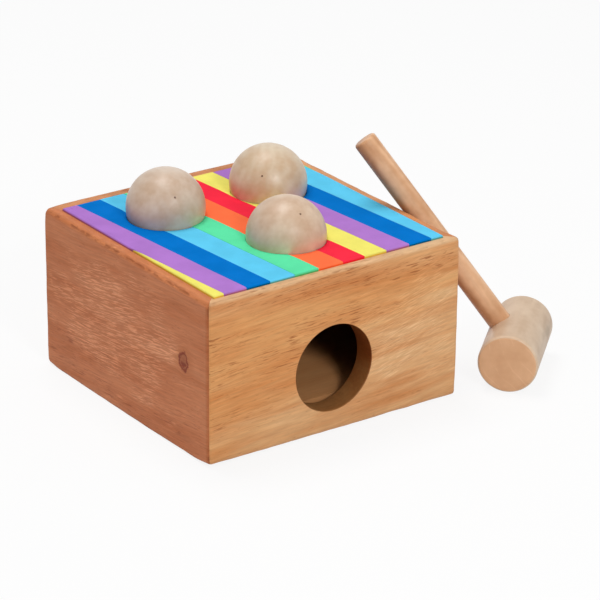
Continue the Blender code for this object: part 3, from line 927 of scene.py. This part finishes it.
def slice_faces(bm, normal, places):
    """Cuts the faces by planes at these places along the normal, so that they can be bent."""
    for place in places:
        bmesh.ops.bisect_plane(
            bm,
            geom=bm.verts[:] + bm.edges[:] + bm.faces[:],
            dist=CUT_TOLERANCE,
            plane_co=normal * place,
            plane_no=normal,
        )


def spaced(low, high, step):
    """Evenly spaced places between two ends, without the ends, about a step apart."""
    count = max(1, round(abs(high - low) / step))
    return [low + (high - low) * i / count for i in range(1, count)]


def facing(azimuth, elevation):
    """The direction at an azimuth from the front and an elevation, as for the camera."""
    flat = math.cos(elevation)
    return Vector((math.sin(azimuth) * flat, -math.cos(azimuth) * flat, math.sin(elevation)))


def placed(middle, direction):
    """The place of something whose own Z axis is to point in the direction."""
    return Matrix.Translation(middle) @ direction.to_track_quat("Z", "Y").to_matrix().to_4x4()


def clamped(point, inset):
    """The nearest point of the box's block shrunk by the inset."""
    return Vector([min(max(p, l + inset), h - inset) for p, l, h in zip(point, BOX_LOW, BOX_HIGH)])


def sanded_radius(point):
    """Rounding of the outside near a point: each edge and corner has its own, all rippled."""
    beside = {
        "left": point.x - BOX_LOW.x,
        "right": BOX_HIGH.x - point.x,
        "front": point.y - BOX_LOW.y,
        "back": BOX_HIGH.y - point.y,
        "foot": point.z - BOX_LOW.z,
        "top": BOX_HIGH.z - point.z,
    }
    side, face, end = (
        min(pair, key=beside.get) for pair in (("left", "right"), ("front", "back"), ("foot", "top"))
    )
    edges = [(math.hypot(beside[side], beside[face]), UPRIGHT_ROUND[side, face])]
    for wall, size in (FOOT_ROUND if end == "foot" else TOP_ROUND).items():
        edges.append((math.hypot(beside[wall], beside[end]), size))
    nearest = min(away for away, _ in edges)
    shares = [math.exp((nearest**2 - away**2) / EDGE_REACH**2) for away, _ in edges]
    radius = sum(share * size for share, (_, size) in zip(shares, edges)) / sum(shares)
    corner = Vector((beside[side], beside[face], beside[end])).length
    radius += (CORNER_ROUND[side, face, end] - radius) * math.exp(-((corner / CORNER_REACH) ** 2))
    ripple = noise.noise(point / RIPPLE_LENGTH)
    ripple += FINE_RIPPLE_SHARE * noise.noise(point / RIPPLE_LENGTH * FINE_RIPPLE_RATE)
    return max(LEAST_ROUND, radius * (1 + SANDED_RIPPLE * ripple))


def foot_lift(point):
    """How far the foot is worn away near the front left corner, which stands clear of the ground."""
    along = (point - BOX_LOW).xy
    shares = [distance / reach for distance, reach in zip(along, FOOT_LIFT_REACH)]
    fade = max(0.0, 1 - (point.z - BOX_LOW.z) / FOOT_LIFT_FADE)
    return FOOT_LIFT * fade * math.exp(-sum(share**2 for share in shares))


def sand_outside(bm):
    """Moves the outside skin to the hand-sanded rounding, and marks the edges for the wood."""
    arris = bm.verts.layers.float.new("arris")
    for vert in bm.verts:
        square = vert.co - clamped(vert.co, CAD_ROUND)
        if abs(square.length - CAD_ROUND) > SKIN_TOLERANCE:
            continue
        radius = sanded_radius(vert.co)
        core = clamped(vert.co, radius)
        out = (vert.co - core).normalized()
        vert.co = core + out * radius
        vert.co.z += foot_lift(vert.co)
        steepest = max(abs(value) for value in out)
        vert[arris] = min(1.0, (1.0 - steepest) / ARRIS_SLANT)


def close_mitres(bm):
    """Moves the mitred ends almost together, so that no dark slit shows between the walls."""
    for vert in bm.verts:
        for diagonal in (Vector((1, 1, 0)).normalized(), Vector((1, -1, 0)).normalized()):
            off = vert.co.dot(diagonal)
            if abs(off) < CAD_SEAM_GAP:
                vert.co += diagonal * (math.copysign(MITRE_GAP / 2, off) - off)


def build_walls():
    for node, board in BOARDS.items():
        bm = welded_copy(node)
        across = 0 if board.along_y else 1
        for axis, normal in enumerate(Matrix.Identity(3)):
            low, high = BOX_LOW[axis], BOX_HIGH[axis]
            rows = [low + row for row in EDGE_ROWS] + [high - row for row in EDGE_ROWS]
            if axis != across:
                rows = spaced(low + EDGE_ROWS[-1], high - EDGE_ROWS[-1], WALL_SLICE) + rows
            slice_faces(bm, normal, rows)
        sand_outside(bm)
        close_mitres(bm)
        wall = new_piece(f"{node}_sanded", bm, wall_wood(f"{node} wood", board), "toy_box")
        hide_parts(node)


def build_plywood():
    """The plywood base and ramp keep their CAD shapes."""
    for node, aside_shade_tint in PLY_ASIDE_SHADE_TINTS.items():
        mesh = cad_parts[node].data
        mesh.materials.clear()
        mesh.materials.append(plywood(f"{node} plywood", aside_shade_tint))


def ball_sphere(node):
    """A ball's middle and radius."""
    low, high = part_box(node)
    return (low + high) / 2, (high.z - low.z) / 2


def turned(profile, segments):
    """A closed bmesh turned about Z from (radius, height) points that start and end on the axis."""
    bm = bmesh.new()
    points = [bm.verts.new((radius, 0, height)) for radius, height in profile]
    edges = [bm.edges.new(pair) for pair in zip(points, points[1:])]
    bmesh.ops.spin(
        bm, geom=points + edges, axis=(0, 0, 1), angle=2 * math.pi, steps=segments, use_merge=True
    )
    bmesh.ops.remove_doubles(bm, verts=bm.verts, dist=WELD)
    return bm


def ball_profile(radius):
    """Half the outline of a ball, downward from the lathe mark on its top."""
    rim = math.asin(MARK_RADIUS / radius)
    floor = radius * math.cos(rim) - MARK_DEPTH
    profile = [(0, floor), (MARK_CONE_RADIUS, floor + MARK_CONE_RISE)]
    for i in range(BALL_RINGS):
        angle = rim + (math.pi - rim) * i / BALL_RINGS
        profile.append((radius * math.sin(angle), radius * math.cos(angle)))
    return profile + [(0, -radius)]


def build_balls():
    for node, body in BALL_BODIES.items():
        middle, radius = ball_sphere(node)
        bm = turned(ball_profile(radius), BALL_SEGMENTS)
        mark = bm.verts.layers.float.new("mark")
        for vert in bm.verts:
            vert[mark] = float(vert.co.z > 0 and vert.co.xy.length < MARK_STAIN_RADIUS)
        place = placed(middle, facing(*BALL_MARKS[node]))
        ball = new_piece(f"{node}_turned", bm, ball_wood(node), body, place)
        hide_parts(node)


def axis_of(node):
    """The middle, the long direction and the length of a turned CAD node."""
    points = np.array([v.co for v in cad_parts[node].data.vertices])
    direction = Vector(np.linalg.svd(points - points.mean(0))[2][0]).normalized()
    if direction.z < 0:
        direction = -direction
    spread = points @ np.array(direction)
    middle = Vector(points.mean(0))
    middle += direction * ((spread.min() + spread.max()) / 2 - middle.dot(direction))
    return middle, direction, float(spread.max() - spread.min())


def radius_about(node, middle, axis):
    """How far the outermost point of a CAD node is from an axis."""
    offsets = [v.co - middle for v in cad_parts[node].data.vertices]
    return max((offset - axis * offset.dot(axis)).length for offset in offsets)


def arc(centre, radius, start, end):
    angles = [start + (end - start) * i / RIM_SEGMENTS for i in range(RIM_SEGMENTS + 1)]
    return [(centre[0] + radius * math.cos(a), centre[1] + radius * math.sin(a)) for a in angles]


def bar_profile(radius, rounding, half):
    """Half the outline of a turned bar, downward, with both rims rounded and rings between them."""
    quarter = math.pi / 2
    corner = radius - rounding
    profile = [(0, half)]
    profile += arc((corner, half - rounding), rounding, quarter, 0)
    profile += [(radius, height) for height in spaced(half - rounding, rounding - half, BAR_SLICE)]
    profile += arc((corner, rounding - half), rounding, 0, -quarter)
    return profile + [(0, -half)]


def build_mallet():
    head_middle, head_axis, head_length = axis_of("mallet_head")
    head_radius = head_middle.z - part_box("mallet_head")[0].z
    head_place = placed(head_middle, head_axis)
    middle, axis, length = axis_of("mallet_handle")
    radius = radius_about("mallet_handle", middle, axis)
    handle_place = placed(middle, axis)

    socket_profile = bar_profile(radius + SOCKET_CLEARANCE, HANDLE_ROUND, length / 2 + SOCKET_CLEARANCE)
    socket = turned(socket_profile, HANDLE_SEGMENTS)
    bmesh.ops.transform(socket, matrix=head_place.inverted() @ handle_place, verts=socket.verts)
    bmesh.ops.recalc_face_normals(socket, faces=socket.faces)
    tool = as_object("socket", socket)
    bm = turned(bar_profile(head_radius, HEAD_ROUND, head_length / 2), HEAD_SEGMENTS)
    bmesh.ops.recalc_face_normals(bm, faces=bm.faces)
    bm = cut(bm, [tool])
    bpy.data.objects.remove(tool)
    wood = head_wood(head_length / 2)
    head = new_piece("mallet_head_turned", bm, wood, "mallet", head_place)
    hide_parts("mallet_head")

    bm = turned(bar_profile(radius, HANDLE_ROUND, length / 2), HANDLE_SEGMENTS)
    handle = new_piece("mallet_handle_turned", bm, handle_wood(), "mallet", handle_place)
    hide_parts("mallet_handle")


def foam_sheets():
    """Foam sheet's first words, such as foam_05_green, to the CAD nodes that it was cut into."""
    sheets = {}
    for node in sorted(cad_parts):
        if node.startswith("foam_"):
            sheets.setdefault(node.removesuffix("_back"), []).append(node)
    return sheets


def across_stripes():
    """The direction across the stripes, from a long side of an uncut sheet."""
    bm = welded_copy("foam_02_purple")
    sides = [f for f in bm.faces if abs(f.normal.z) < UPRIGHT and f.normal.x > LOOKS_ALONG]
    normal = max(sides, key=lambda f: f.calc_area()).normal.copy()
    bm.free()
    return normal


FOAM_ACROSS = across_stripes()
FOAM_ALONG = Vector((-FOAM_ACROSS.y, FOAM_ACROSS.x, 0))


def in_seam(face):
    """Whether a foam face is glued to the next sheet."""
    return abs(face.normal.dot(FOAM_ACROSS)) > ALIGNED


def sheet_block(nodes):
    """The whole sheet before its holes were cut, widened so that its seams close."""
    bm = welded_copy(*nodes)
    hull = bmesh.ops.convex_hull(bm, input=bm.verts)
    inside = [v for v in hull["geom_interior"] if isinstance(v, bmesh.types.BMVert)]
    bmesh.ops.delete(bm, geom=inside, context="VERTS")
    bmesh.ops.dissolve_limit(bm, angle_limit=FLAT_ANGLE, verts=bm.verts, edges=bm.edges)
    widen = (CAD_SEAM_GAP - FOAM_SEAM_GAP) / 2
    moves = {vert: face.normal * widen for face in bm.faces if in_seam(face) for vert in face.verts}
    for vert, move in moves.items():
        vert.co += move
    return bm


def hole_cutter(node):
    """A cylinder that leaves the foam's rounded rim just touching the ball."""
    middle, radius = ball_sphere(node)
    grip = middle.z - (FOAM_TOP - FOAM_ROUND)
    hole = math.sqrt(radius**2 - grip**2) + FOAM_GRIP_GAP
    bm = bmesh.new()
    bmesh.ops.create_cone(
        bm,
        cap_ends=True,
        segments=FOAM_HOLE_SEGMENTS,
        radius1=hole,
        radius2=hole,
        depth=FOAM_TOP - FOAM_UNDERSIDE + 2 * FOAM_HOLE_OVERSHOOT,
    )
    shift = (middle.x, middle.y, (FOAM_TOP + FOAM_UNDERSIDE) / 2)
    bmesh.ops.translate(bm, vec=shift, verts=bm.verts)
    return as_object("hole", bm)


def islands(bm):
    """The separate pieces of a bmesh, from the front to the back."""
    found = []
    left = set(bm.faces)
    while left:
        group = {left.pop()}
        frontier = list(group)
        while frontier:
            face = frontier.pop()
            reached = {other for edge in face.edges for other in edge.link_faces} & left
            left -= reached
            group |= reached
            frontier += reached
        found.append(sorted(group, key=lambda face: face.index))
    found.sort(key=lambda group: sum(f.calc_center_median().y for f in group) / len(group))
    pieces = []
    for group in found:
        piece = bmesh.new()
        copies = {}
        for face in group:
            for vert in face.verts:
                if vert not in copies:
                    copies[vert] = piece.verts.new(vert.co)
            piece.faces.new([copies[vert] for vert in face.verts])
        piece.normal_update()
        pieces.append(piece)
    bm.free()
    return pieces


def along_thin_strip(edge, low, high):
    """Whether a hole's rim runs beside a seam so closely that there is no room to round it."""
    start, end = (vert.co for vert in edge.verts)
    middle = (start + end) / 2
    across = middle.dot(FOAM_ACROSS)
    beside_hole = any(
        (middle.xy - centre.xy).length < radius for centre, radius in map(ball_sphere, BALL_BODIES)
    )
    slant = abs((end - start).normalized().dot(FOAM_ACROSS))
    narrow = min(across - low, high - across) < FOAM_THIN_STRIP
    return beside_hole and narrow and slant < FOAM_STRIP_SLANT


def open_rims(bm):
    """The top edges of a foam piece's cut sides, where there is room to round them."""
    cut_sides = {f for f in bm.faces if abs(f.normal.z) < SIDEWAYS and not in_seam(f)}
    spread = [v.co.dot(FOAM_ACROSS) for v in bm.verts]
    return [
        e
        for e in bm.edges
        if all(abs(v.co.z - FOAM_TOP) < SKIN_TOLERANCE for v in e.verts)
        and any(f in cut_sides for f in e.link_faces)
        and not along_thin_strip(e, min(spread), max(spread))
    ]


def press_depth(point, balls):
    """How far the balls have pressed the foam down at a point."""
    depth = 0.0
    for middle, radius in balls:
        away = max(0.0, (point.xy - middle.xy).length - radius)
        depth += FOAM_PRESSED * math.exp(-away / FOAM_PRESSED_REACH)
    return depth


def soften(bm, number):
    """Rounds the cut edges of a foam piece and gives its top a slight unevenness."""
    bmesh.ops.dissolve_limit(bm, angle_limit=FLAT_ANGLE, verts=bm.verts, edges=bm.edges)
    bmesh.ops.bevel(
        bm,
        geom=open_rims(bm),
        offset=FOAM_ROUND,
        segments=FOAM_ROUND_SEGMENTS,
        profile=FOAM_ROUND_PROFILE,
        affect="EDGES",
        clamp_overlap=True,
    )
    for direction in (FOAM_ALONG, FOAM_ACROSS):
        reach = [v.co.dot(direction) for v in bm.verts]
        slice_faces(bm, direction, spaced(min(reach), max(reach), FOAM_SLICE))
    balls = [ball_sphere(node) for node in BALL_BODIES]
    level = FOAM_STEP * noise.noise(FOAM_STEP_START + number * FOAM_STEP_STRIDE)
    for vert in bm.verts:
        share = (vert.co.z - FOAM_UNDERSIDE) / (FOAM_TOP - FOAM_UNDERSIDE)
        wave = FOAM_WAVE * noise.noise(Vector((vert.co.x, vert.co.y, 0)) / FOAM_WAVE_LENGTH)
        vert.co.z += (wave + level - press_depth(vert.co, balls)) * share


def build_foam():
    tools = [hole_cutter(node) for node in BALL_BODIES]
    paints = {name: foam(f"{name} foam", colour) for name, colour in FOAM_COLOURS.items()}
    for number, (sheet, nodes) in enumerate(foam_sheets().items(), 1):
        colour = sheet.split("_", 2)[2]
        meshes = islands(cut(sheet_block(nodes), tools))
        for i, bm in enumerate(meshes):
            # The tighter holes can leave a strip that joins the halves, and one piece stands for both
            stands_for = nodes[i:] if bm is meshes[-1] else nodes[i : i + 1]
            soften(bm, number)
            piece = new_piece(f"{nodes[i]}_soft", bm, paints[colour], "toy_box")
            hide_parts(*stands_for)
    for tool in tools:
        bpy.data.objects.remove(tool)


def seen_directly(g):
    """1 for rays from the camera, and for those that a gloss or glass passes on."""
    path = g.add("ShaderNodeLightPath")
    seen = g.math("MAXIMUM", path.outputs["Is Camera Ray"], path.outputs["Is Glossy Ray"])
    return g.math("MAXIMUM", seen, path.outputs["Is Transmission Ray"])


def build_floor():
    """A pale floor that the camera sees as white, with the object's shadow left in it."""
    mesh = bpy.data.meshes.new("floor")
    half = FLOOR_SIDE / 2
    corners = [(-half, -half, 0), (half, -half, 0), (half, half, 0), (-half, half, 0)]
    mesh.from_pydata(corners, [], [(0, 1, 2, 3)])
    floor = bpy.data.objects.new("floor", mesh)
    bpy.context.scene.collection.objects.link(floor)
    g = Graph(bpy.data.materials.new("floor"))
    mesh.materials.append(g.finish(FLOOR_COLOUR, FLOOR_ROUGHNESS, gloss=0.0))
    glow = g.add("ShaderNodeEmission")
    blend = g.add("ShaderNodeMixShader")
    g.feed(blend.inputs[0], g.times(seen_directly(g), FLOOR_GLOW))
    g.feed(blend.inputs[1], g.shader.outputs[0])
    g.feed(blend.inputs[2], glow.outputs[0])
    g.feed(g.tree.nodes["Material Output"].inputs["Surface"], blend.outputs[0])


def build_world():
    """Even light from all round, which the camera and any gloss see as plain white."""
    world = bpy.data.worlds.new("studio")
    g = Graph(world)
    background = g.tree.nodes["Background"]
    g.feed(background.inputs["Color"], WORLD_COLOUR)
    g.feed(background.inputs["Strength"], g.step(seen_directly(g), 0.0, 1.0, WORLD_STRENGTH, 1.0))
    bpy.context.scene.world = world


def build_lights():
    for name, azimuth, elevation, distance, side, watts in SOFTBOXES:
        lamp = bpy.data.lights.new(name, "AREA")
        lamp.shape = "SQUARE"
        lamp.size = side
        lamp.energy = watts
        out = facing(azimuth, elevation)
        light = bpy.data.objects.new(name, lamp)
        light.matrix_world = placed(CAMERA_TARGET + out * distance, out)
        bpy.context.scene.collection.objects.link(light)


def build_camera():
    lens = bpy.data.cameras.new("camera")
    lens.sensor_width = SENSOR_MM
    lens.lens = FOCAL_PIXELS / IMAGE_PIXELS * SENSOR_MM
    out = facing(CAMERA_AZIMUTH, CAMERA_ELEVATION)
    level = placed(CAMERA_TARGET + out * CAMERA_DISTANCE, out)
    camera = bpy.data.objects.new("camera", lens)
    camera.matrix_world = level @ Matrix.Rotation(CAMERA_ROLL, 4, "Z")
    bpy.context.scene.collection.objects.link(camera)
    bpy.context.scene.camera = camera


bpy.context.scene.view_settings.view_transform = "Standard"
build_camera()
build_lights()
build_world()
build_floor()
build_walls()
build_plywood()
build_balls()
build_mallet()
build_foam()
